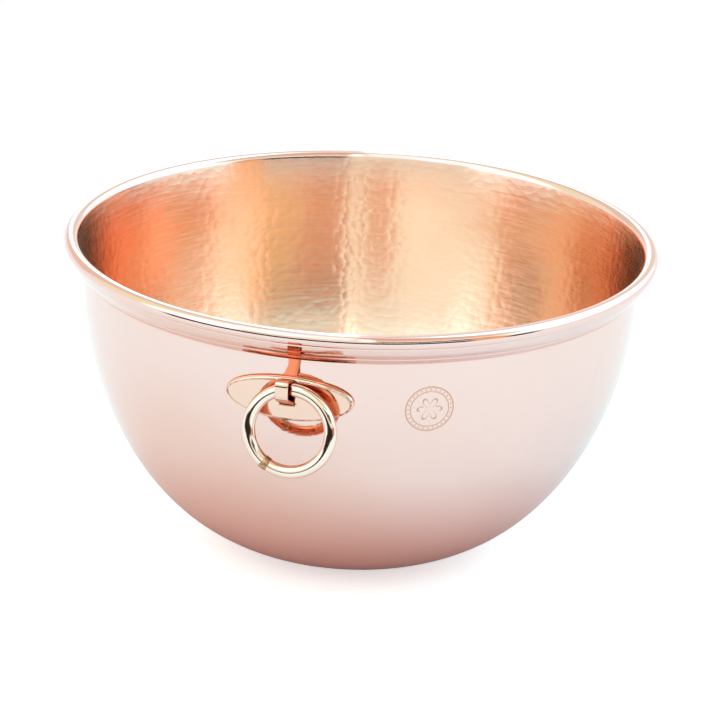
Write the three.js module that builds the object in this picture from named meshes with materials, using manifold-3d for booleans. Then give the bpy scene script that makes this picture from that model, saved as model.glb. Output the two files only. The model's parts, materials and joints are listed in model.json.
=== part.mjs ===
// Copper mixing bowl with a wired rim and a hanging ring.
//
// Units are millimetres and +Z is up. The origin is the centre of the flat base,
// on the surface the bowl stands on. The hanging ring is on the -Y side.

import * as THREE from "three";
import { mergeVertices } from "three/addons/utils/BufferGeometryUtils.js";
import Module from "manifold-3d";

// Bowl body
const GAP = 0.3; // clearance between neighbouring pieces
const SHEET = 1.2; // thickness of the copper sheet
const WALL_RADIUS = 122; // outside radius of the wall under the neck
const NECK_HEIGHT = 125.9; // height where the sheet starts to lean outward
const WALL_REACH = 60; // how far the wall carries on straight down before it turns in
const BASE_RADIUS = 28; // radius of the small flat the bowl stands on
const BASE_REACH = 60; // how far the base carries on straight out before it turns up

// Rim: the sheet leans out, rolls outward over a wire and comes back to the wall as a hem
const BEAD_RADIUS = 2.9; // outside radius of the rolled bead
const BEAD_CENTRE = 127.1; // distance from the bowl's axis to the middle of the bead
const RIM_HEIGHT = 137.4; // height of the middle of the bead
const LEAN = 16.3; // degrees the sheet leans outward between the neck and the bead
const HEM_ANGLE = 30; // degrees past horizontal where the roll runs into the hem
const HEM_KNEE = [126.4, 131.7]; // where the hem turns in to the wall: radius and height
const HEM_TIP = [123.65, 128.2]; // where the hem ends, close to the wall: radius and height

// Oval backplate
const PLATE_HEIGHT = 108.6; // height of the plate's centre
const PLATE_HALF_WIDTH = 27.2;
const PLATE_HALF_HEIGHT = 9.8;
const PLATE_THICKNESS = 2;

// Strap: a folded strip whose two legs pass through slots in the plate
const STRAP_WIDTH = 5.6;
const STRAP_THICKNESS = 1.2;
const STRAP_FRONT = 133.4; // distance from the bowl's axis to the strap's front run
const STRAP_ROOT = 122.2; // distance from the bowl's axis to the ends of the legs
const STRAP_TOP_ROOT = 116.9; // height of the upper leg's end
const STRAP_TOP_FRONT = 120.2; // height where the upper leg meets the front run
const STRAP_LOW_FRONT = 112.7; // height where the front run meets the lower leg
const STRAP_LOW_ROOT = 106.8; // height of the lower leg's end
const STRAP_BEND = 2.4; // how much of each corner its bend takes up

// Hanging ring, free to swing about the part of its wire that lies in the strap
const RING_RADIUS = 17.2; // radius of the middle of the wire
const RING_WIRE = 2.7; // radius of the wire
const HINGE_DISTANCE = 127.5; // distance from the bowl's axis to the wire in the strap
const HINGE_HEIGHT = 114.2;
const RING_TILT = 8; // degrees the ring leans away from the wall at rest
const RING_SWAY = 3; // how far the ring's centre hangs to one side of the strap
const RING_RISE = 0.23; // how far the slanting wire's middle lies above the hinge line
const JOINT_ANGLE = 238; // where the ring's ends meet, in degrees round the ring from +X
const JOINT_SPACE = 1.2; // distance between the ring's ends
const BRAZE_RADIUS = 3; // radius of the bead of braze between the ends

// Facets
const ROUND_SEGMENTS = 72; // round the bowl's axis
const WALL_STEPS = 14; // down the wall
const BEAD_STEPS = 8; // over the rolled bead
const BEND_STEPS = 4; // round each bend of the strap
const RING_STEPS = 48; // round the ring
const WIRE_SIDES = 12; // round the ring's wire
const RIM_WIRE_SIDES = 8; // round the rim's wire
const PLATE_STEPS = 24; // round half of the plate's outline

const SAME_POINT = 1e-4; // distance under which two vertices are one
const SHARPEST_MITRE = 0.5; // least share of a mitre's length that is offset at a corner

const wasm = await Module();
wasm.setup();

// Geometry helpers

/** Keeps only positions and shares the vertices that coincide. */
function weld(geometry) {
  const bare = geometry.clone();
  bare.deleteAttribute("normal");
  bare.deleteAttribute("uv");
  return mergeVertices(bare, SAME_POINT);
}

function toSolid(geometry) {
  const welded = weld(geometry);
  return new wasm.Manifold(
    new wasm.Mesh({
      numProp: 3,
      vertProperties: new Float32Array(welded.attributes.position.array),
      triVerts: new Uint32Array(welded.index.array),
    }),
  );
}

function toGeometry(solid) {
  const mesh = solid.getMesh();
  const geometry = new THREE.BufferGeometry();
  geometry.setAttribute("position", new THREE.BufferAttribute(mesh.vertProperties, 3));
  geometry.setIndex(new THREE.BufferAttribute(mesh.triVerts, 1));
  geometry.computeVertexNormals();
  return geometry;
}

/** Turns an outline of (radius, height) points about the bowl's axis. */
function turn(outline) {
  return new THREE.LatheGeometry(outline, ROUND_SEGMENTS).rotateX(Math.PI / 2);
}

/** Moves every point of an open line sideways by a distance; positive is to its right. */
function offsetLine(line, distance) {
  return line.map((point, i) => {
    const before = line[Math.max(i - 1, 0)];
    const after = line[Math.min(i + 1, line.length - 1)];
    const arriving = point.clone().sub(before).normalize();
    const leaving = after.clone().sub(point).normalize();
    const along = arriving.add(leaving).normalize();
    const straight = i === 0 ? leaving : point.clone().sub(before).normalize();
    const mitre = Math.max(along.dot(straight), SHARPEST_MITRE);
    return new THREE.Vector2(along.y, -along.x).multiplyScalar(distance / mitre).add(point);
  });
}

/** Outline of a strip of sheet whose middle follows the line. */
function thicken(line, thickness) {
  const right = offsetLine(line, thickness / 2);
  const left = offsetLine(line, -thickness / 2);
  return [...right, ...left.reverse()];
}

/** Replaces a corner between two straight runs with a bend. */
function bend(before, corner, after, size) {
  const start = corner.clone().sub(before).setLength(size).negate().add(corner);
  const end = after.clone().sub(corner).setLength(size).add(corner);
  return new THREE.QuadraticBezierCurve(start, corner, end).getPoints(BEND_STEPS);
}

// Bowl

/** Outside of the wall, from the neck down to the edge of the flat base. */
const wallCurve = new THREE.CubicBezierCurve(
  new THREE.Vector2(WALL_RADIUS, NECK_HEIGHT),
  new THREE.Vector2(WALL_RADIUS, NECK_HEIGHT - WALL_REACH),
  new THREE.Vector2(BASE_RADIUS + BASE_REACH, 0),
  new THREE.Vector2(BASE_RADIUS, 0),
);

/** The rolled rim: middle of the sheet from the inside of the bead to the hem's edge. */
function rimLine() {
  const roll = BEAD_RADIUS - SHEET / 2;
  const start = Math.PI - THREE.MathUtils.degToRad(LEAN);
  const stop = -THREE.MathUtils.degToRad(HEM_ANGLE);
  const line = [];
  for (let i = 0; i <= BEAD_STEPS; i += 1) {
    const angle = THREE.MathUtils.lerp(start, stop, i / BEAD_STEPS);
    line.push(
      new THREE.Vector2(BEAD_CENTRE + roll * Math.cos(angle), RIM_HEIGHT + roll * Math.sin(angle)),
    );
  }
  return [...line, new THREE.Vector2(...HEM_KNEE), new THREE.Vector2(...HEM_TIP)];
}

/** One sheet of copper: flat base, round wall, rolled rim and hem. */
function bowlShell() {
  const outside = wallCurve.getSpacedPoints(WALL_STEPS).reverse();
  const wall = offsetLine(outside, -SHEET / 2);
  wall[0].y = SHEET / 2;
  const centreLine = [new THREE.Vector2(0, SHEET / 2), ...wall, ...rimLine()];
  const outline = thicken(centreLine, SHEET);
  outline[0].x = 0;
  outline.at(-1).x = 0;
  return turn(outline);
}

/** The wire inside the rolled rim. */
function rimWire() {
  const radius = BEAD_RADIUS - SHEET - GAP;
  const section = [];
  for (let i = 0; i <= RIM_WIRE_SIDES; i += 1) {
    const angle = (2 * Math.PI * i) / RIM_WIRE_SIDES;
    section.push(
      new THREE.Vector2(
        BEAD_CENTRE + radius * Math.cos(angle),
        RIM_HEIGHT + radius * Math.sin(angle),
      ),
    );
  }
  return turn(section);
}

// Ring bracket

/** Stands an extruded side view up so that its x points away from the bowl's axis. */
function standUp(geometry) {
  return geometry.applyMatrix4(
    new THREE.Matrix4().makeBasis(
      new THREE.Vector3(0, -1, 0),
      new THREE.Vector3(0, 0, 1),
      new THREE.Vector3(-1, 0, 0),
    ),
  );
}

/** Solid strip, as wide as given, along a line drawn in side view. */
function strip(line, thickness, width) {
  const side = new THREE.Shape(thicken(line, thickness));
  const block = new THREE.ExtrudeGeometry(side, { depth: width, bevelEnabled: false });
  return standUp(block.translate(0, 0, -width / 2));
}

const strapRoots = {
  top: new THREE.Vector2(STRAP_ROOT, STRAP_TOP_ROOT),
  low: new THREE.Vector2(STRAP_ROOT, STRAP_LOW_ROOT),
};
const strapCorners = {
  top: new THREE.Vector2(STRAP_FRONT, STRAP_TOP_FRONT),
  low: new THREE.Vector2(STRAP_FRONT, STRAP_LOW_FRONT),
};

function ringStrap() {
  const line = [
    strapRoots.top,
    ...bend(strapRoots.top, strapCorners.top, strapCorners.low, STRAP_BEND),
    ...bend(strapCorners.top, strapCorners.low, strapRoots.low, STRAP_BEND),
    strapRoots.low,
  ];
  return strip(line, STRAP_THICKNESS, STRAP_WIDTH);
}

/** Slot in the plate for one leg of the strap. */
function legSlot(root, corner) {
  const beyond = root.clone().sub(corner).setLength(STRAP_BEND).add(root);
  const cut = strip([corner, beyond], STRAP_THICKNESS + 2 * GAP, STRAP_WIDTH + 2 * GAP);
  return toSolid(cut);
}

/** Oval plate that follows the wall, with a slot for each leg of the strap. */
function backplate() {
  const face = wallCurve.getSpacedPoints(WALL_STEPS).reverse();
  const near = offsetLine(face, GAP);
  const far = offsetLine(face, GAP + PLATE_THICKNESS);
  const skin = [...far, ...near.reverse()];
  const sleeve = toSolid(turn([...skin, skin[0]]));

  const oval = new THREE.Shape();
  oval.absellipse(0, 0, PLATE_HALF_WIDTH, PLATE_HALF_HEIGHT, 0, 2 * Math.PI);
  const cutter = new THREE.ExtrudeGeometry(oval, {
    depth: WALL_RADIUS,
    curveSegments: PLATE_STEPS,
    bevelEnabled: false,
  });
  cutter.rotateX(Math.PI / 2).translate(0, -BASE_RADIUS, PLATE_HEIGHT);

  const plate = sleeve
    .intersect(toSolid(cutter))
    .subtract(legSlot(strapRoots.top, strapCorners.top))
    .subtract(legSlot(strapRoots.low, strapCorners.low));
  return toGeometry(plate);
}

// Ring

/** Circle in the XZ plane, open by a small angle where the ring's ends meet. */
class RingLine extends THREE.Curve {
  getPoint(t) {
    const open = JOINT_SPACE / RING_RADIUS;
    const start = THREE.MathUtils.degToRad(JOINT_ANGLE) + open / 2;
    const angle = start + t * (2 * Math.PI - open);
    return new THREE.Vector3(RING_RADIUS * Math.cos(angle), 0, RING_RADIUS * Math.sin(angle));
  }
}

function hangingRing() {
  const wire = new THREE.Shape();
  wire.absarc(0, 0, RING_WIRE, 0, 2 * Math.PI);
  return new THREE.ExtrudeGeometry(wire, {
    extrudePath: new RingLine(),
    steps: RING_STEPS,
    curveSegments: WIRE_SIDES / 2,
  });
}

/** Disc of braze between the ring's ends. */
function ringBraze() {
  const disc = new THREE.CylinderGeometry(
    BRAZE_RADIUS,
    BRAZE_RADIUS,
    JOINT_SPACE - 2 * GAP,
    WIRE_SIDES * 2,
  );
  const angle = THREE.MathUtils.degToRad(JOINT_ANGLE);
  disc.rotateX(Math.PI / 2).rotateY(-angle);
  return disc.translate(RING_RADIUS * Math.cos(angle), 0, RING_RADIUS * Math.sin(angle));
}

// Assembly

const polishedCopper = new THREE.MeshStandardMaterial({
  color: 0xe9b49c,
  roughness: 0.12,
  metalness: 1,
});
const ringMetal = new THREE.MeshStandardMaterial({
  color: 0xe6b793,
  roughness: 0.12,
  metalness: 1,
});
const brazeMetal = new THREE.MeshStandardMaterial({
  color: 0xd9b184,
  roughness: 0.4,
  metalness: 1,
});
const steelWire = new THREE.MeshStandardMaterial({
  color: 0x8f8f8c,
  roughness: 0.5,
  metalness: 1,
});

function piece(name, geometry, material) {
  const mesh = new THREE.Mesh(geometry, material);
  mesh.name = name;
  return mesh;
}

const bowl = new THREE.Group();
bowl.add(
  piece("bowl_shell", bowlShell(), polishedCopper),
  piece("rim_wire", rimWire(), steelWire),
  piece("backplate", backplate(), polishedCopper),
  piece("ring_strap", ringStrap(), polishedCopper),
);

const ringInPlane = new THREE.Group();
const ringDrop = Math.sqrt(RING_RADIUS ** 2 - RING_SWAY ** 2) - RING_RISE;
ringInPlane.position.set(RING_SWAY, 0, -ringDrop);
ringInPlane.add(
  piece("hanging_ring", hangingRing(), ringMetal),
  piece("ring_braze", ringBraze(), brazeMetal),
);

const ringHinge = new THREE.Group();
ringHinge.position.set(0, -HINGE_DISTANCE, HINGE_HEIGHT);
ringHinge.rotation.x = -THREE.MathUtils.degToRad(RING_TILT);
ringHinge.add(ringInPlane);

const group = new THREE.Group();
group.add(bowl, ringHinge);

export default group;
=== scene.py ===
"""Looks of a copper mixing bowl with a wired rim and a hanging ring.

Lengths are in metres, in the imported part's frame: +Z is up, the origin is the centre
of the flat base and the hanging ring is on the -Y side. An azimuth is counted in
degrees from the -Y side towards +X.
"""

import json
import math

import bmesh
import bpy
import numpy as np
from mathutils import Matrix, Vector


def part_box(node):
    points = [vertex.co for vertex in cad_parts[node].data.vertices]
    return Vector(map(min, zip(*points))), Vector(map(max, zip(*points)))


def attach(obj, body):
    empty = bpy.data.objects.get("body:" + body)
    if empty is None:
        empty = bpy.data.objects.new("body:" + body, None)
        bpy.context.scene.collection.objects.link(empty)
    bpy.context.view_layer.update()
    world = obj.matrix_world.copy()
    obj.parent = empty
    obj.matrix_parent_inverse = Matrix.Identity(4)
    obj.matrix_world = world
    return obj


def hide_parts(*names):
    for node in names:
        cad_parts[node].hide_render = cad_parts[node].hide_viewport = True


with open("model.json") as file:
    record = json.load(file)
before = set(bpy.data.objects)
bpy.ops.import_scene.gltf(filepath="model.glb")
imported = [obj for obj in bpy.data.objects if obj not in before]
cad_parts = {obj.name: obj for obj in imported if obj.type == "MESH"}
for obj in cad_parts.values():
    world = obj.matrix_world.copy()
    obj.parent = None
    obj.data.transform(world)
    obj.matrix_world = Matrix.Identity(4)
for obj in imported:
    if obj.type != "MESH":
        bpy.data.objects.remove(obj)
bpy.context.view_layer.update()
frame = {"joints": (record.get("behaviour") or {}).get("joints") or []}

MM = 0.001
SAME_POINT = 1e-7
QUARTER_TURN = 0.25  # of a tangent, so that a turned finish smears up and down the wall

# Bowl, from the frame
shell_low, shell_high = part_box("bowl_shell")
wire_low, wire_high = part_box("rim_wire")
WIRE_RADIUS = (wire_high.z - wire_low.z) / 2
BEAD_CENTRE = wire_high.x - WIRE_RADIUS  # distance from the axis to the rolled bead's middle
BEAD_HEIGHT = wire_high.z - WIRE_RADIUS
BEAD_RADIUS = min(shell_high.z - BEAD_HEIGHT, shell_high.x - BEAD_CENTRE)

# Bowl, shape of the sheet between the base and the bead
SHEET = 1.2 * MM
BASE_RADIUS = 28 * MM
BASE_REACH = 60 * MM  # how far the base carries on straight out before it turns up
NECK_RADIUS = 122 * MM
NECK_HEIGHT = BEAD_HEIGHT - 11.5 * MM  # where the wall starts to flare out
NECK_REACH = 60 * MM  # how far the wall carries on straight down before it turns in
LEAN = 16.3  # degrees the sheet leans outward behind the hem
BEAD_INSIDE = 123.55 * MM  # distance from the axis to where the bead runs into the inside
NECK_INSIDE = np.array((120.95, 125.5)) * MM  # corner that the inside rounds off at the neck
NECK_ROUND = 110 * MM  # height where that rounding starts
HEM_ANGLE = -30  # degrees round the bead where the roll runs into the hem
HEM_KNEE = np.array((126.9, 131.3)) * MM  # where the hem's outside turns in to the wall
HEM_TIP = np.array((122.85, 126.3)) * MM  # end of the hem's outside, close on the wall
HEM_END = 0.55 * MM  # thickness of the hem's hammered-down end
KNEE_ROUND = 0.6 * MM
HEM_GROOVE = 0.55  # place of the lower groove, as a share of the way from the tip to the knee
BEAD_GROOVE = 0.62  # place of the upper groove, as a share of the way from the knee to the bead
GROOVE_DEPTH = 0.18 * MM
GROOVE_WIDTH = 0.35 * MM

# Hammer marks inside the bowl: shallow cups struck in level courses
COURSE_HEIGHT = 3.1 * MM
BLOW_SPACING = 4.4 * MM
BLOW_DEPTH = 0.034 * MM
BLOW_CURVE = 85 * MM  # radius of the hammer's domed face
BLOW_STRAY = 0.28  # how far a blow strays, as a share of the spacing
HAMMER_SEED = 11
CUP_RELIEF = 0.08  # bump of the fine blows, in millimetres
LINE_RELIEF = 0.01  # bump of the turning lines, in millimetres

# Bracket, from the frame
plate_low, plate_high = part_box("backplate")
strap_low, strap_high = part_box("ring_strap")
PLATE_HALF_WIDTH = plate_high.x
PLATE_HALF_HEIGHT = (plate_high.z - plate_low.z) / 2
PLATE_MIDDLE = (plate_high.z + plate_low.z) / 2
PLATE_GAP = 0.3 * MM
PLATE_THICKNESS = 2 * MM
PLATE_EDGE = 1.5 * MM  # radius of the rounded edge
PLATE_BLEND = 0.25  # share of the half height over which the plate's rows follow its edge
PLATE_ROWS = 14
PLATE_STEPS = 160
STRAP_WIDTH = strap_high.x - strap_low.x
STRAP_FLARE = 0.5 * MM  # how much wider the legs are on each side at the wall
STRAP_THICKNESS = 1.2 * MM
STRAP_FRONT = -strap_low.y - STRAP_THICKNESS / 2
STRAP_TOP_DROP = 3.3 * MM  # fall of the upper leg from its bend back to the wall
STRAP_LOW_DROP = 5.9 * MM  # fall of the lower leg from its bend back to the wall
STRAP_FRONT_HEIGHT = 7.5 * MM
STRAP_BEND = 2.4 * MM
STRAP_CROWN = 0.12 * MM  # how far the strap's face stands proud along its middle
STRAP_CORNER = 0.4 * MM  # radius of the strap's long edges
SLOT_ROOM = 0.15 * MM  # room round the strap's legs in the plate

# Ring, from the frame's joint
hinge = next(joint for joint in frame["joints"] if joint["name"] == "ring_swing")
ring_low, ring_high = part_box("hanging_ring")
PIVOT = Vector(hinge["pos_m"])
RING_WIRE = 2.67 * MM
RING_RADIUS = (ring_high.x - ring_low.x) / 2 - RING_WIRE
RING_SWAY = (ring_high.x + ring_low.x) / 2
RING_RISE = 0.23 * MM  # how far the slanting wire's middle lies above the hinge line
RING_TILT = 8  # degrees the ring leans away from the wall
JOINT_ANGLE = 238  # where the ring's ends meet, in degrees round the ring from +X
JOINT_SPACE = 1.2 * MM
RING_CHAMFER = 0.25 * MM
RING_ROWS = 241
BRAZE_RADIUS = 2.93 * MM
BRAZE_REACH = 2.0 * MM  # how far the braze runs along the wire from the joint
BRAZE_SEED = 5

# Stamped roundel with no lettering
STAMP_AZIMUTH = 27.7
STAMP_DROP = 31.9 * MM  # below the middle of the bead
STAMP_RADIUS = 10.4 * MM
STAMP_DEPTH = 0.06 * MM
STAMP_DOTS = 28

# Fineness of the meshes
ROUND_STEPS = 600
ROW_STEP = 1.35 * MM

# Studio
VIEW_AZIMUTH = 13
VIEW_ELEVATION = 18.54
VIEW_DISTANCE = 1.491
VIEW_ROLL = 2.27
VIEW_DROP = 1.994  # degrees the camera aims below the middle of the rim
VIEW_LEFT = 0.024
LENS = 170
FLOOR_RADIUS = 0.62
PAINTED_SHADOW_REACH = 0.165  # how far the floor's rose painted shadow reaches from the bowl's axis
# strength of the floor's rose painted shadow at the bowl's foot
PAINTED_SHADOW_SHARE = 0.9
FLOOR_GLOW = (0.06, 0.55)  # light the floor gives off, to the metal and to the camera


# Points and outlines


def unit(angle):
    """Direction at an angle in degrees in an outline's plane."""
    return np.array([math.cos(math.radians(angle)), math.sin(math.radians(angle))])


def straight(start, end, count):
    """Points from start up to, but without, end."""
    share = np.arange(count)[:, None] / count
    return np.asarray(start) * (1 - share) + np.asarray(end) * share


def arc(centre, radius, start, end, count):
    """Points round a circle between two angles in degrees, without the last."""
    angles = np.radians(start + (end - start) * np.arange(count) / count)
    return np.asarray(centre) + radius * np.stack([np.cos(angles), np.sin(angles)], axis=1)


def bezier(points, count):
    """Many points along a Bezier curve."""
    share = np.linspace(0, 1, count)[:, None]
    layers = [np.asarray(point, float) for point in points]
    while len(layers) > 1:
        layers = [a * (1 - share) + b * share for a, b in zip(layers, layers[1:])]
    return layers[0]


def lengths(line):
    """Distance of each point of a line from its start, along the line."""
    steps = np.linalg.norm(np.diff(line, axis=0), axis=1)
    return np.concatenate([[0], np.cumsum(steps)])


def spaced(line, count):
    """A line's points again, evenly spaced."""
    along = lengths(line)
    at = np.linspace(0, along[-1], count)
    return np.stack([np.interp(at, along, axis) for axis in line.T], axis=1)


def right_of(line):
    """Unit vectors to the right of a line of points."""
    way = np.gradient(line, axis=0)
    way /= np.linalg.norm(way, axis=1)[:, None]
    return np.stack([way[:, 1], -way[:, 0]], axis=1)


# Meshes


def object_from(name, points, faces, materials, slots=None):
    """Object with a smooth mesh in which points that coincide are one."""
    mesh = bpy.data.meshes.new(name)
    mesh.from_pydata(points.tolist(), [], faces.tolist())
    if slots is not None:
        mesh.polygons.foreach_set("material_index", slots.astype(np.int32))
    for material in materials:
        mesh.materials.append(material)
    work = bmesh.new()
    work.from_mesh(mesh)
    bmesh.ops.remove_doubles(work, verts=work.verts, dist=SAME_POINT)
    bmesh.ops.recalc_face_normals(work, faces=work.faces)
    work.to_mesh(mesh)
    work.free()
    mesh.shade_smooth()
    made = bpy.data.objects.new(name, mesh)
    bpy.context.scene.collection.objects.link(made)
    return made


def skin(name, rings, materials, closed=False, slots=None):
    """Object skinned over closed rings of points, shaped (rings, points, 3).

    The last ring joins the first when closed is set. Otherwise the skin is left as it
    is, so its end rings shrink to a point where they should be shut.
    """
    rows, columns = rings.shape[:2]
    index = np.arange(rows * columns).reshape(rows, columns)
    near = index if closed else index[:-1]
    far = np.roll(index, -1, axis=0) if closed else index[1:]
    quads = np.stack([near, np.roll(near, -1, axis=1), np.roll(far, -1, axis=1), far], axis=-1)
    if slots is not None:
        slots = np.repeat(slots[: len(near)], columns)
    return object_from(name, rings.reshape(-1, 3), quads.reshape(-1, 4), materials, slots)


def turned(outline, count=ROUND_STEPS):
    """Rings made by turning (radius, height) points about the bowl's axis."""
    angle = np.arange(count) * 2 * math.pi / count
    x = outline[:, :1] * np.sin(angle)
    y = -outline[:, :1] * np.cos(angle)
    z = outline[:, 1:] * np.ones(count)
    return np.stack([x, y, z], axis=-1)


# Node trees


class Nodes:
    """Short forms for building a node tree."""

    def __init__(self, tree):
        self.tree = tree
        tree.nodes.clear()

    def feed(self, socket, value):
        if isinstance(value, bpy.types.NodeSocket):
            self.tree.links.new(value, socket)
        else:
            socket.default_value = value

    def add(self, kind, settings=None, **inputs):
        """A node of a kind; inputs are named as their sockets, with _ for a space."""
        node = self.tree.nodes.new(kind)
        for name, value in (settings or {}).items():
            setattr(node, name, value)
        for name, value in inputs.items():
            self.feed(node.inputs[name.replace("_", " ")], value)
        return node

    def math(self, operation, *values, clamp=False):
        node = self.add("ShaderNodeMath", {"operation": operation, "use_clamp": clamp})
        for socket, value in zip(node.inputs, values):
            self.feed(socket, value)
        return node.outputs[0]

    def ramp(self, value, low, high, start=0.0, end=1.0, smooth=True):
        """start below low, end above high and in between a smooth passage."""
        kind = "SMOOTHSTEP" if smooth else "LINEAR"
        node = self.add("ShaderNodeMapRange", {"interpolation_type": kind})
        for name, number in zip(("From Min", "From Max", "To Min", "To Max"), (low, high, start, end)):
            self.feed(node.inputs[name], number)
        self.feed(node.inputs["Value"], value)
        return node.outputs["Result"]

    def mix(self, share, first, second):
        """Colour between first and second."""
        node = self.add("ShaderNodeMix", {"data_type": "RGBA"})
        self.feed(node.inputs[0], share)
        self.feed(node.inputs[6], first)
        self.feed(node.inputs[7], second)
        return node.outputs[2]

    def noise(self, vector, scale, detail=3.0, roughness=0.5):
        node = self.add("ShaderNodeTexNoise", Scale=scale, Detail=detail, Roughness=roughness)
        self.feed(node.inputs["Vector"], vector)
        return node.outputs["Fac"]

    def place(self):
        """Position on the object at rest."""
        return self.add("ShaderNodeTexCoord").outputs["Object"]

    def stretched(self, vector, scale, turn=(0, 0, 0)):
        node = self.add("ShaderNodeMapping")
        self.feed(node.inputs["Vector"], vector)
        node.inputs["Rotation"].default_value = [math.radians(angle) for angle in turn]
        node.inputs["Scale"].default_value = scale
        return node.outputs["Vector"]


def colour(red, green, blue):
    return (red, green, blue, 1.0)


# Materials


def new_material(name):
    material = bpy.data.materials.new(name)
    material.use_nodes = True
    return material, Nodes(material.node_tree)


def metal(nodes, base, roughness, height, bump, turned_finish=0.0):
    """Ends a tree in a bare metal with the given colour, roughness and relief. A turned
    finish smears what it mirrors across the lines that run round the bowl's axis."""
    relief = nodes.add("ShaderNodeBump", Strength=bump, Distance=MM, Height=height)
    shader = nodes.add(
        "ShaderNodeBsdfPrincipled",
        Base_Color=base,
        Metallic=1.0,
        Roughness=roughness,
        Normal=relief.outputs["Normal"],
        Anisotropic=turned_finish,
        Anisotropic_Rotation=QUARTER_TURN,
    )
    if turned_finish:
        round_axis = nodes.add("ShaderNodeTangent", {"direction_type": "RADIAL", "axis": "Z"})
        nodes.feed(shader.inputs["Tangent"], round_axis.outputs[0])
    nodes.add("ShaderNodeOutputMaterial", Surface=shader.outputs[0])


def scratches(nodes, place, turn, fineness=1.0):
    """Fine straight polishing scratches, 0 to 1, that run along X turned by turn."""
    along = nodes.stretched(place, (40 * fineness, 1500 * fineness, 1500 * fineness), turn)
    return nodes.ramp(nodes.noise(along, 1.0, detail=2.0), 0.55, 0.78)


def deeper_in_mirrors(nodes, tint, deep):
    """The tint when seen directly and the deep colour in another piece's reflection. Real
    copper has one colour: this copies how an overexposed picture pales only the first."""
    # Painted highlight: seen directly the tint is paled as if in strong light, while reflections of
    # the part take the deeper colour
    mirrored = nodes.add("ShaderNodeLightPath").outputs["Is Glossy Ray"]
    return nodes.mix(mirrored, tint, deep)


def polished_copper(name, base, shade, deep, roughness=0.05, stamped=False):
    """Buffed copper: faint clouds of colour and crossing hairline scratches. Where the
    metal is stamped, the mark's lines are dull and dark."""
    material, nodes = new_material(name)
    place = nodes.place()
    cloud = nodes.noise(place, 22.0, detail=4.0)
    hair = nodes.math(
        "MAXIMUM", scratches(nodes, place, (0, 25, 10)), scratches(nodes, place, (0, -40, 70))
    )
    tint = nodes.mix(nodes.ramp(cloud, 0.35, 0.75, 0.0, 0.55), base, shade)
    tint = deeper_in_mirrors(nodes, tint, deep)
    finish = nodes.math("ADD", nodes.math("MULTIPLY", hair, 0.05), roughness)
    if stamped:
        mark = nodes.add("ShaderNodeAttribute", {"attribute_name": "mark"}).outputs["Fac"]
        tint = nodes.mix(mark, tint, STAMP_SHADE)
        finish = nodes.ramp(mark, 0.0, 1.0, finish, 0.3)
    metal(nodes, tint, finish, hair, 0.012)
    return material


def hammered_copper():
    """The inside of the bowl: a tint paled as a painted highlight where seen directly and a deeper
    colour in reflections, with fine turning lines over the blows.
    """
    material, nodes = new_material("copper_inside")
    place = nodes.place()
    parts = nodes.add("ShaderNodeSeparateXYZ", Vector=place).outputs
    angle = nodes.math("ARCTAN2", parts["X"], parts["Y"])
    level = nodes.add("ShaderNodeCombineXYZ", X=nodes.math("MULTIPLY", angle, 6.0))
    nodes.feed(level.inputs["Z"], nodes.math("MULTIPLY", parts["Z"], 900.0))
    lines = nodes.noise(level.outputs[0], 1.0, detail=3.0)
    across = nodes.math("MULTIPLY", angle, NECK_RADIUS / BLOW_SPACING)
    courses = nodes.add("ShaderNodeCombineXYZ", X=across)
    nodes.feed(courses.inputs["Z"], nodes.math("MULTIPLY", parts["Z"], 1 / COURSE_HEIGHT))
    blows = nodes.add("ShaderNodeTexVoronoi", Scale=1.0, Randomness=0.7)
    nodes.feed(blows.inputs["Vector"], courses.outputs[0])
    cups = nodes.math("POWER", blows.outputs["Distance"], 2.0)
    cup_relief = nodes.math("MULTIPLY", cups, CUP_RELIEF)
    line_relief = nodes.math("MULTIPLY", lines, LINE_RELIEF)
    relief = nodes.math("ADD", cup_relief, line_relief)
    cloud = nodes.noise(place, 30.0, detail=5.0, roughness=0.6)
    tint = nodes.mix(nodes.ramp(cloud, 0.3, 0.7), INSIDE, INSIDE_SHADE)
    tint = deeper_in_mirrors(nodes, tint, INSIDE_DEEP)
    finish = nodes.ramp(lines, 0.3, 0.7, 0.17, 0.24)
    metal(nodes, tint, finish, relief, 1.0, turned_finish=0.8)
    return material


def cast_braze():
    """Rough brassy braze with a pitted skin."""
    material, nodes = new_material("braze_metal")
    place = nodes.place()
    lumps = nodes.noise(place, 900.0, detail=4.0, roughness=0.6)
    tint = nodes.mix(nodes.ramp(lumps, 0.35, 0.65), BRAZE, BRAZE_SHADE)
    metal(nodes, tint, nodes.ramp(lumps, 0.3, 0.7, 0.18, 0.4), lumps, 0.12)
    return material


def drawn_steel():
    """Steel wire with lines from drawing along its length."""
    material, nodes = new_material("wire_steel")
    place = nodes.place()
    parts = nodes.add("ShaderNodeSeparateXYZ", Vector=place).outputs
    level = nodes.add("ShaderNodeCombineXYZ", Z=nodes.math("MULTIPLY", parts["Z"], 4000.0))
    lines = nodes.noise(level.outputs[0], 1.0)
    tint = nodes.mix(lines, colour(0.30, 0.30, 0.31), colour(0.42, 0.41, 0.40))
    metal(nodes, tint, nodes.ramp(lines, 0.3, 0.7, 0.3, 0.5), lines, 0.05)
    return material


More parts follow.
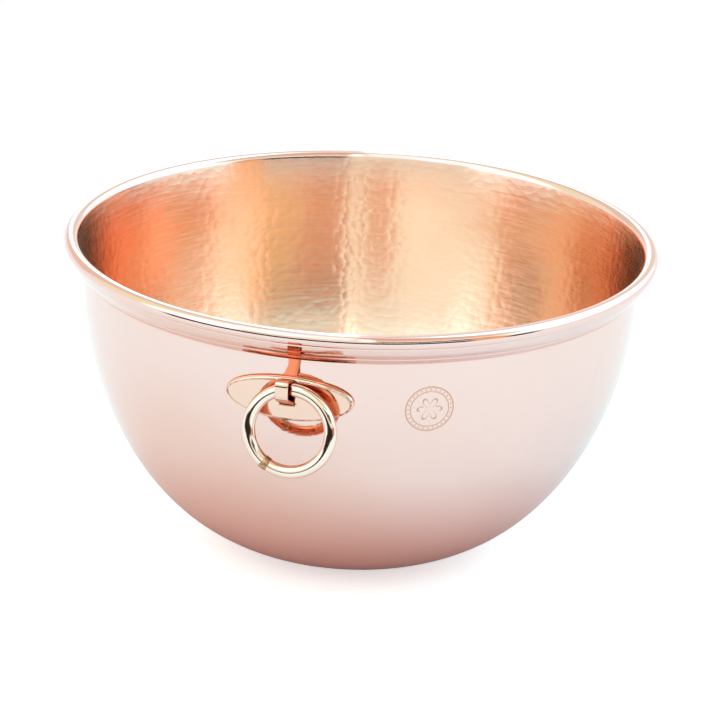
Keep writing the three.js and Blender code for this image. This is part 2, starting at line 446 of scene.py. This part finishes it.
# Painted highlight and painted reflection: each copper's first colour, seen directly, is paled as in
# strong light; the _DEEP colours are shown only in reflections, and BRACKET_DEEP gives the bracket and
# ring a dark red painted reflection
OUTSIDE = colour(0.905, 0.665, 0.620)
OUTSIDE_SHADE = colour(0.895, 0.640, 0.585)
OUTSIDE_DEEP = colour(0.900, 0.560, 0.450)
STAMP_SHADE = colour(0.620, 0.280, 0.170)
INSIDE = colour(0.960, 0.730, 0.600)
INSIDE_SHADE = colour(0.950, 0.690, 0.550)
INSIDE_DEEP = colour(0.950, 0.580, 0.410)
BRACKET = colour(0.910, 0.640, 0.530)
BRACKET_SHADE = colour(0.860, 0.560, 0.440)
RING = colour(0.950, 0.800, 0.710)
RING_SHADE = colour(0.930, 0.760, 0.660)
BRACKET_DEEP = colour(0.720, 0.260, 0.140)
BRAZE = colour(0.640, 0.420, 0.250)
BRAZE_SHADE = colour(0.400, 0.200, 0.110)

outside_copper = polished_copper(
    "copper_outside", OUTSIDE, OUTSIDE_SHADE, OUTSIDE_DEEP, stamped=True
)
inside_copper = hammered_copper()
bracket_copper = polished_copper("copper_bracket", BRACKET, BRACKET_SHADE, BRACKET_DEEP, 0.06)
ring_copper = polished_copper("copper_ring", RING, RING_SHADE, BRACKET_DEEP, 0.07)
braze_metal = cast_braze()
wire_steel = drawn_steel()


# Bowl

outside_wall = bezier(
    [
        (BASE_RADIUS, 0),
        (BASE_RADIUS + BASE_REACH, 0),
        (NECK_RADIUS, NECK_HEIGHT - NECK_REACH),
        (NECK_RADIUS, NECK_HEIGHT),
    ],
    4000,
)


def wall_radius(height):
    """Outside radius of the wall at a height."""
    return np.interp(height, outside_wall[:, 1], outside_wall[:, 0])


def wall_lean(height):
    """Angle of the wall's outward normal below the horizontal, in radians."""
    step = 0.05 * MM
    return np.arctan2(wall_radius(height + step) - wall_radius(height - step), 2 * step)


def grooved(start, end, place):
    """Straight face from start to end with a groove turned in it at a share of its length."""
    line = straight(start, end, 24)
    away = (np.linalg.norm(end - start) * place - lengths(line)) / GROOVE_WIDTH
    return line - right_of(line) * (GROOVE_DEPTH * np.exp(-(away**2)))[:, None]


def rim_outline():
    """(radius, height) points of the rim from the neck's outside, up behind the hem, round
    the wire, down the hem, back up its outside and over the bead to the inside."""
    bead = np.array([BEAD_CENTRE, BEAD_HEIGHT])
    neck = np.array([NECK_RADIUS, NECK_HEIGHT])
    under = BEAD_RADIUS - SHEET
    inner_side = 180 - LEAN
    hem_top = bead + BEAD_RADIUS * unit(HEM_ANGLE)
    hem_top_inner = bead + under * unit(HEM_ANGLE)
    knee_inner = HEM_KNEE - SHEET * unit(HEM_ANGLE - 6)
    tip_inner = HEM_TIP - HEM_END * unit(HEM_ANGLE - 9)
    tip_middle = (HEM_TIP + tip_inner) / 2
    before_knee = HEM_KNEE + unit(230) * KNEE_ROUND
    after_knee = HEM_KNEE + unit(60) * KNEE_ROUND
    knee = bezier([before_knee, HEM_KNEE, after_knee], 5)
    top = bead + BEAD_RADIUS * unit(90)
    end = np.array([BEAD_INSIDE, BEAD_HEIGHT])
    down = (NECK_INSIDE - end) / np.linalg.norm(NECK_INSIDE - end)
    over_top = top + BEAD_RADIUS * 0.75 * unit(180)
    above_end = end - BEAD_RADIUS * 0.6 * down
    inward = bezier([top, over_top, above_end, end], 400)
    return np.concatenate(
        [
            straight(neck, bead + under * unit(inner_side), 5),
            arc(bead, under, inner_side, HEM_ANGLE, 12),
            straight(hem_top_inner, knee_inner, 3),
            straight(knee_inner, tip_inner, 3),
            arc(tip_middle, HEM_END / 2, HEM_ANGLE + 171, HEM_ANGLE + 351, 5),
            grooved(HEM_TIP, HEM_KNEE, HEM_GROOVE)[:-2],
            knee,
            grooved(HEM_KNEE + unit(60) * 2 * KNEE_ROUND, hem_top, BEAD_GROOVE),
            arc(bead, BEAD_RADIUS, HEM_ANGLE, 90, 22),
            spaced(inward, 15)[:-1],
        ]
    )


def inside_outline():
    """(radius, height) points of the hammered inside, from the bead down to the axis."""
    wall = (outside_wall - SHEET * right_of(outside_wall))[::-1]
    below = wall[wall[:, 1] < NECK_ROUND]
    neck = bezier([(BEAD_INSIDE, BEAD_HEIGHT), NECK_INSIDE, below[0]], 200)
    side = np.concatenate([neck[:-1], below])
    side = spaced(side, int(lengths(side)[-1] / ROW_STEP))
    centre = straight(side[-1], (0, side[-1, 1]), 14)
    return np.concatenate([side, centre[1:], [(0, side[-1, 1])]])


def shell_outline():
    """(radius, height) points of the smooth part of the sheet, from the axis under the
    base, up the outside and over the rim."""
    rows = int(lengths(outside_wall)[-1] / (2 * ROW_STEP))
    base = straight((0, 0), (BASE_RADIUS, 0), 6)
    return np.concatenate([base, spaced(outside_wall, rows)[:-1], rim_outline()])


def hammer_marks(outline):
    """How deep the blows reach at each point of a turned outline, shaped (rows, steps)."""
    chance = np.random.default_rng(HAMMER_SEED)
    along = lengths(outline)
    angle = np.arange(ROUND_STEPS) * 2 * math.pi / ROUND_STEPS
    depth = np.zeros((len(outline), ROUND_STEPS))
    for course in range(int(along[-1] / COURSE_HEIGHT) + 2):
        level = course * COURSE_HEIGHT
        radius = np.interp(level, along, outline[:, 0])
        blows = max(3, round(2 * math.pi * radius / BLOW_SPACING))
        slip = chance.uniform(0, 1)
        stray_round = chance.normal(0, BLOW_STRAY, blows)
        stray_along = chance.normal(0, BLOW_STRAY * COURSE_HEIGHT, blows)
        force = BLOW_DEPTH * chance.uniform(0.6, 1.2, blows)
        face = BLOW_CURVE * chance.uniform(0.7, 1.4, blows)
        near = np.flatnonzero(np.abs(along - level) < 2.5 * COURSE_HEIGHT)
        nearest = np.round(angle / (2 * math.pi) * blows - slip).astype(int)
        for shift in (-2, -1, 0, 1, 2):
            blow = (nearest + shift) % blows
            place = (nearest + shift + slip + stray_round[blow]) * 2 * math.pi / blows
            across = (angle - place) * radius
            up = along[near, None] - level - stray_along[blow]
            cup = force[blow] - (across**2 + up**2) / (2 * face[blow])
            depth[near] = np.maximum(depth[near], cup)
    return depth


def roundel(x, y):
    """Engraved share, 0 to 1, of the stamped mark at places on it, in stamp radii."""

    def line(distance, width):
        return np.clip(1.5 - np.abs(distance) / width, 0, 1)

    radius = np.hypot(x, y)
    turn = np.arctan2(y, x)
    rim = line(radius - 0.97, 0.022)
    inner_rim = line(radius - 0.78, 0.018)
    dot_turn = np.round(turn / (2 * math.pi) * STAMP_DOTS) * 2 * math.pi / STAMP_DOTS
    from_dot = np.hypot(x - 0.875 * np.cos(dot_turn), y - 0.875 * np.sin(dot_turn))
    dots = np.clip(1.5 - from_dot / 0.03, 0, 1)
    petal = line(radius - 0.5 * np.abs(np.cos(3 * turn)) ** 0.7, 0.03)
    petal = np.where(radius < 0.07, 0, petal)
    return np.maximum.reduce([rim, inner_rim, dots, petal])


def stamp(shell):
    """Refines the wall round the roundel and engraves it."""
    mesh = shell.data
    work = bmesh.new()
    work.from_mesh(mesh)
    mark = work.verts.layers.float.new("mark")
    height = BEAD_HEIGHT - STAMP_DROP
    centre_angle = math.radians(STAMP_AZIMUTH)
    reach = STAMP_RADIUS * 1.15

    def place(co):
        """Place on the unrolled wall, from the roundel's middle, or None if elsewhere."""
        radius = math.hypot(co.x, co.y)
        across = (math.atan2(co.x, -co.y) - centre_angle) * radius
        up = (co.z - height) / math.cos(wall_lean(height))
        outside = radius > wall_radius(co.z) - SHEET / 2
        return (across, up) if outside and abs(across) < reach and abs(up) < reach else None

    faces = [face for face in work.faces if place(face.calc_center_median())]
    edges = list({edge for face in faces for edge in face.edges})
    bmesh.ops.subdivide_edges(work, edges=edges, cuts=6, use_grid_fill=True)
    for vertex in work.verts:
        spot = place(vertex.co)
        if spot is None:
            continue
        depth = float(roundel(spot[0] / STAMP_RADIUS, spot[1] / STAMP_RADIUS))
        angle = math.atan2(vertex.co.x, -vertex.co.y)
        radius = float(wall_radius(vertex.co.z)) - STAMP_DEPTH * depth
        vertex.co.x = radius * math.sin(angle)
        vertex.co.y = -radius * math.cos(angle)
        vertex[mark] = depth
    work.to_mesh(mesh)
    work.free()
    mesh.shade_smooth()


def bowl_shell():
    smooth = shell_outline()
    inside = inside_outline()
    into_sheet = -right_of(inside)
    into_sheet[-1] = (0, -1)
    depth = hammer_marks(inside)
    depth[:4] *= np.linspace(0, 1, 4)[:, None]
    depth[-1] = depth[-1].mean()
    angle = np.arange(ROUND_STEPS) * 2 * math.pi / ROUND_STEPS
    hammered = turned(inside)
    hammered[:, :, 0] += into_sheet[:, :1] * depth * np.sin(angle)
    hammered[:, :, 1] -= into_sheet[:, :1] * depth * np.cos(angle)
    hammered[:, :, 2] += into_sheet[:, 1:] * depth
    rings = np.concatenate([turned(smooth), hammered])
    slots = (np.arange(len(rings)) >= len(smooth)).astype(int)
    shell = skin("copper_bowl", rings, [outside_copper, inside_copper], slots=slots)
    stamp(shell)
    return shell


def rim_wire():
    section = arc((BEAD_CENTRE, BEAD_HEIGHT), WIRE_RADIUS, 0, 360, 16)
    return skin("steel_rim_wire", turned(section, 240), [wire_steel], closed=True)


# Ring bracket


def on_wall(x, height, away):
    """Point at a distance from the wall's outside, given its sideways place and height."""
    lean = wall_lean(height)
    radius = wall_radius(height) + away * np.cos(lean)
    return np.stack([x, -np.sqrt(radius**2 - x**2), height - away * np.sin(lean)], axis=-1)


def backplate():
    """Oval plate bent to the wall, with a rounded edge on its outer side."""
    corner = np.radians(np.linspace(0, 90, 9))
    rounding = PLATE_EDGE * (1 - np.cos(corner)) / PLATE_HALF_HEIGHT
    edge_height = PLATE_THICKNESS - PLATE_EDGE * (1 - np.sin(corner))
    across = np.linspace(1, 0, PLATE_ROWS)
    inset = np.concatenate([across, rounding, across[-2::-1]])
    away = np.concatenate([0 * across, edge_height, 0 * across[1:] + PLATE_THICKNESS])
    turn = np.arange(PLATE_STEPS) * 2 * math.pi / PLATE_STEPS
    shallow = np.minimum(inset, PLATE_BLEND)
    rings = []
    for share, rim_share, distance in zip(inset, shallow, away + PLATE_GAP):
        narrowing = (1 - share) / (1 - rim_share)
        x = (PLATE_HALF_WIDTH - rim_share * PLATE_HALF_HEIGHT) * narrowing * np.cos(turn)
        height = PLATE_MIDDLE + PLATE_HALF_HEIGHT * (1 - share) * np.sin(turn)
        rings.append(on_wall(x, height, distance))
    return skin("oval_backplate", np.array(rings), [bracket_copper])


def strap_line():
    """Side view of the strap's middle, as (distance from the axis, height) points."""
    top = strap_high.z - STRAP_THICKNESS / 2
    root = -strap_high.y
    corners = np.array(
        [
            (root, top - STRAP_TOP_DROP),
            (STRAP_FRONT, top),
            (STRAP_FRONT, top - STRAP_FRONT_HEIGHT),
            (root, top - STRAP_FRONT_HEIGHT - STRAP_LOW_DROP),
        ]
    )
    line = [corners[:1]]
    for before, corner, after in zip(corners, corners[1:], corners[2:]):
        start = corner + (before - corner) * STRAP_BEND / np.linalg.norm(before - corner)
        end = corner + (after - corner) * STRAP_BEND / np.linalg.norm(after - corner)
        line.append(bezier([start, corner, end], 12))
    line.append(corners[-1:])
    return spaced(np.concatenate(line), 90)


def strap_section(half_width, half_thickness):
    """Section of the strap as (sideways, outward) points: rounded corners and a crown."""
    corner = STRAP_CORNER
    quarters = []
    for turn, side, up in ((0, 1, 1), (90, -1, 1), (180, -1, -1), (270, 1, -1)):
        middle = (side * (half_width - corner), up * (half_thickness - corner))
        quarters.append(arc(middle, corner, turn, turn + 90, 6))
        end = middle + corner * unit(turn + 90)
        follow = {0: (-1, 1), 90: (-1, -1), 180: (1, -1), 270: (1, 1)}[turn]
        next_middle = (follow[0] * (half_width - corner), follow[1] * (half_thickness - corner))
        quarters.append(straight(end, next_middle + corner * unit(turn + 90), 6))
    section = np.concatenate(quarters)
    section[:, 1] -= STRAP_CROWN * (section[:, 0] / half_width) ** 2 * np.sign(section[:, 1])
    return section


def ring_strap():
    """Folded strap whose legs widen a little towards the wall."""
    line = strap_line()
    outward = -right_of(line)
    reach = STRAP_FRONT - line[0, 0]
    rings = []
    for (distance, height), normal in zip(line, outward):
        wider = STRAP_FLARE * ((STRAP_FRONT - distance) / reach) ** 2
        section = strap_section(STRAP_WIDTH / 2 + wider, STRAP_THICKNESS / 2)
        x = section[:, 0]
        y = -(distance + section[:, 1] * normal[0])
        z = height + section[:, 1] * normal[1]
        rings.append(np.stack([x, y, z], axis=-1))
    shut = [np.tile(ring.mean(axis=0), (len(ring), 1)) for ring in (rings[0], rings[-1])]
    return skin("ring_strap_fold", np.array([shut[0], *rings, shut[1]]), [bracket_copper])


def cut_slots(plate, strap):
    """Cuts the strap's legs out of the plate, with a little room round them."""
    cutter = strap.copy()
    cutter.data = strap.data.copy()
    bpy.context.scene.collection.objects.link(cutter)
    swell = cutter.modifiers.new("room", "DISPLACE")
    swell.strength = SLOT_ROOM
    swell.mid_level = 0
    cut = plate.modifiers.new("slots", "BOOLEAN")
    cut.object = cutter
    cut.solver = "MANIFOLD"
    bpy.context.view_layer.update()
    graph = bpy.context.evaluated_depsgraph_get()
    mesh = bpy.data.meshes.new_from_object(plate.evaluated_get(graph))
    plate.modifiers.clear()
    plate.data = mesh
    bpy.data.objects.remove(cutter)


# Ring


def ring_frame():
    """Placement of the ring's plane: its origin is the ring's middle, X across, Z up."""
    drop = math.sqrt(RING_RADIUS**2 - RING_SWAY**2) - RING_RISE
    lean = Matrix.Rotation(math.radians(-RING_TILT), 4, "X")
    return Matrix.Translation(PIVOT) @ lean @ Matrix.Translation((RING_SWAY, 0, -drop))


def along_ring(placement, angle, section):
    """Points of a section, as (outward, sideways), standing on the ring at an angle."""
    reach = RING_RADIUS + section[:, 0]
    x = reach * math.cos(angle)
    z = reach * math.sin(angle)
    local = np.stack([x, section[:, 1], z, np.ones(len(section))], axis=-1)
    return (local @ np.array(placement).T)[:, :3]


def hanging_ring():
    """Round wire bent to a circle, with a small chamfer on its butted ends."""
    placement = ring_frame()
    gap = JOINT_SPACE / RING_RADIUS
    start = math.radians(JOINT_ANGLE) + gap / 2
    sweep = 2 * math.pi - gap
    share = np.linspace(0, 1, RING_ROWS)
    angles = [0, 0, *(share[1:-1]), 1, 1]
    end_radius = RING_WIRE - RING_CHAMFER
    radii = [0, end_radius, *np.full(RING_ROWS - 2, RING_WIRE), end_radius, 0]
    rings = []
    for part, radius in zip(angles, radii):
        section = arc((0, 0), radius, 0, 360, 40)
        rings.append(along_ring(placement, start + part * sweep, section))
    return skin("wire_ring", np.array(rings), [ring_copper])


def ring_braze():
    """Lumpy collar of braze round the ring's butt joint."""
    placement = ring_frame()
    chance = np.random.default_rng(BRAZE_SEED)
    lumps = chance.uniform(0, 2 * math.pi, (5, 2))
    turn = np.arange(36) * 2 * math.pi / 36
    rings = []
    for part in np.linspace(-1, 1, 25):
        angle = math.radians(JOINT_ANGLE) + part * BRAZE_REACH / RING_RADIUS
        radius = BRAZE_RADIUS * np.sqrt(1 - abs(part) ** 8) * np.ones(len(turn))
        for number, (phase, tilt) in enumerate(lumps, start=2):
            radius *= 1 + 0.02 * np.sin(number * turn + phase) * np.cos(number * part + tilt)
        radius = np.minimum(radius, BRAZE_RADIUS)
        section = np.stack([radius * np.cos(turn), radius * np.sin(turn)], axis=1)
        rings.append(along_ring(placement, angle, section))
    return skin("joint_braze", np.array(rings), [braze_metal])


# Assembly


def stand_for(piece, node, body):
    """The piece moves with a body and takes a CAD node's place."""
    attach(piece, body)
    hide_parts(node)


plate = backplate()
strap = ring_strap()
cut_slots(plate, strap)
stand_for(bowl_shell(), "bowl_shell", "bowl")
stand_for(rim_wire(), "rim_wire", "bowl")
stand_for(plate, "backplate", "bowl")
stand_for(strap, "ring_strap", "bowl")
stand_for(hanging_ring(), "hanging_ring", "ring")
stand_for(ring_braze(), "ring_braze", "ring")


# Studio


def add_floor():
    """Round pale table top, bright enough to lose its edge in the white background. To the metal,
    but not to the camera, it is painted rose near the bowl as a painted shadow with warm bounce light."""
    material, nodes = new_material("pale_floor")
    place = nodes.place()
    grain = nodes.noise(place, 60.0)
    tint = nodes.mix(grain, colour(0.85, 0.85, 0.87), colour(0.88, 0.88, 0.90))
    seen = nodes.add("ShaderNodeLightPath").outputs["Is Camera Ray"]
    reach = nodes.add("ShaderNodeVectorMath", {"operation": "LENGTH"})
    nodes.feed(reach.inputs[0], place)
    near = nodes.ramp(reach.outputs["Value"], BASE_RADIUS, PAINTED_SHADOW_REACH, PAINTED_SHADOW_SHARE, 0.0)
    near = nodes.math("MULTIPLY", near, nodes.math("SUBTRACT", 1.0, seen))
    # Painted shadow: rose under and round the bowl, for its shade and the copper's warm bounce light,
    # seen only by the metal
    tint = nodes.mix(near, tint, colour(0.60, 0.26, 0.21))
    matt = nodes.add("ShaderNodeBsdfDiffuse", Color=tint)
    lift = nodes.ramp(seen, 0.0, 1.0, *FLOOR_GLOW, smooth=False)
    glow = nodes.add("ShaderNodeEmission", Color=colour(1, 1, 1), Strength=lift)
    both = nodes.add("ShaderNodeAddShader")
    nodes.feed(both.inputs[0], matt.outputs[0])
    nodes.feed(both.inputs[1], glow.outputs[0])
    nodes.add("ShaderNodeOutputMaterial", Surface=both.outputs[0])
    outline = np.array([(0, 0), (FLOOR_RADIUS / 2, 0), (FLOOR_RADIUS, 0)])
    outline[:, 1] = -0.1 * MM
    skin("floor", turned(outline, 96), [material])


# What surrounds the bowl, each patch laid over the ones before it:
# (left, right, softness) in degrees round from the camera's direction, to the right,
# (low, high, softness) in degrees of elevation, and its light.
WHITE_ROOM = colour(1.05, 1.05, 1.08)
STUDIO = (
    ((62, 152, 4), (8, 75, 6), colour(1.2, 2.0, 2.3)),  # tall window on the right
    ((8, 66, 4), (8, 32, 5), colour(1.1, 1.6, 1.6)),  # its low part, towards the camera
    ((-122, -84, 4), (8, 75, 6), colour(0.95, 1.08, 0.72)),  # yellow wall on the left
    ((-164, -126, 4), (8, 75, 6), colour(0.87, 0.75, 0.62)),  # brown wall behind, left
    ((158, 176, 3), (8, 75, 6), colour(0.88, 0.88, 0.76)),  # brown wall behind, right
    ((-190, -168, 1.5), (8, 75, 6), colour(1.3, 2.4, 2.8)),  # narrow window behind
    ((-35, 75, 12), (46, 88, 5), colour(0.80, 0.58, 0.42)),  # warm ceiling
    ((-35, 75, 10), (30, 50, 5), colour(0.90, 0.74, 0.52)),  # paler wall under it
    ((-35, 0, 5), (28, 80, 6), colour(1.1, 1.45, 1.35)),  # bright wall left of the camera
    ((-88, -26, 5), (7, 70, 5), colour(1.7, 1.75, 1.7)),  # large soft box on the left
    ((1, 7, 1.5), (24, 60, 6), colour(2.2, 2.1, 1.9)),  # narrow window by the camera
    ((-46, 9, 4), (3, 28, 4), colour(0.95, 0.95, 0.82)),  # pale wall by the camera
    ((7, 54, 3), (9, 24, 2), colour(0.20, 0.10, 0.06)),  # dark doorway
    ((-76, 70, 4), (-60, 3, 2), colour(0.035, 0.02, 0.015)),  # dark floor past the table
    ((43, 57, 3), (-60, 20, 2), colour(0.95, 0.55, 0.26)),  # lit gap in the dark
)


def add_world():
    """White surroundings to the camera, and the studio's patches to everything else."""
    world = bpy.data.worlds.new("studio")
    bpy.context.scene.world = world
    world.use_nodes = True
    nodes = Nodes(world.node_tree)
    way = nodes.add("ShaderNodeTexCoord").outputs["Generated"]
    parts = nodes.add("ShaderNodeSeparateXYZ", Vector=way).outputs
    turn = math.radians(VIEW_AZIMUTH)
    ahead = nodes.math("MULTIPLY", parts["Y"], -math.cos(turn))
    ahead = nodes.math("ADD", ahead, nodes.math("MULTIPLY", parts["X"], math.sin(turn)))
    across = nodes.math("MULTIPLY", parts["X"], math.cos(turn))
    across = nodes.math("ADD", across, nodes.math("MULTIPLY", parts["Y"], math.sin(turn)))
    azimuth = nodes.math("DEGREES", nodes.math("ARCTAN2", across, ahead))
    elevation = nodes.math("DEGREES", nodes.math("ARCSINE", parts["Z"]))

    def window(value, low, high, soft):
        rise = nodes.ramp(value, low - soft, low + soft)
        fall = nodes.ramp(value, high - soft, high + soft, 1.0, 0.0)
        return nodes.math("MULTIPLY", rise, fall)

    light = WHITE_ROOM
    for (left, right, turn_soft), (low, high, rise_soft), shade in STUDIO:
        across_patch = window(azimuth, left, right, turn_soft)
        up_patch = window(elevation, low, high, rise_soft)
        light = nodes.mix(nodes.math("MULTIPLY", across_patch, up_patch), light, shade)
    seen = nodes.add("ShaderNodeLightPath").outputs["Is Camera Ray"]
    light = nodes.mix(seen, light, colour(1.02, 1.02, 1.02))
    sky = nodes.add("ShaderNodeBackground", Color=light, Strength=1.0)
    nodes.add("ShaderNodeOutputWorld", Surface=sky.outputs[0])


def add_camera():
    """Camera at the photograph's viewing angle."""
    azimuth, elevation = math.radians(VIEW_AZIMUTH), math.radians(VIEW_ELEVATION)
    back = Vector(
        (
            math.sin(azimuth) * math.cos(elevation),
            -math.cos(azimuth) * math.cos(elevation),
            math.sin(elevation),
        )
    )
    right = Vector((0, 0, 1)).cross(back).normalized()
    facing = Matrix((right, back.cross(right), back)).transposed().to_4x4()
    roll = Matrix.Rotation(math.radians(VIEW_ROLL), 4, "Z")
    drop = Matrix.Rotation(math.radians(-VIEW_DROP), 4, "X")
    left = Matrix.Rotation(math.radians(VIEW_LEFT), 4, "Y")
    camera = bpy.data.objects.new("camera", bpy.data.cameras.new("camera"))
    camera.data.lens = LENS
    camera.data.sensor_width = 36
    rim_middle = Vector((0, 0, BEAD_HEIGHT))
    camera.matrix_world = (
        Matrix.Translation(rim_middle + VIEW_DISTANCE * back) @ facing @ roll @ drop @ left
    )
    bpy.context.scene.collection.objects.link(camera)
    bpy.context.scene.camera = camera


add_floor()
add_world()
add_camera()
bpy.context.scene.view_settings.view_transform = "Standard"
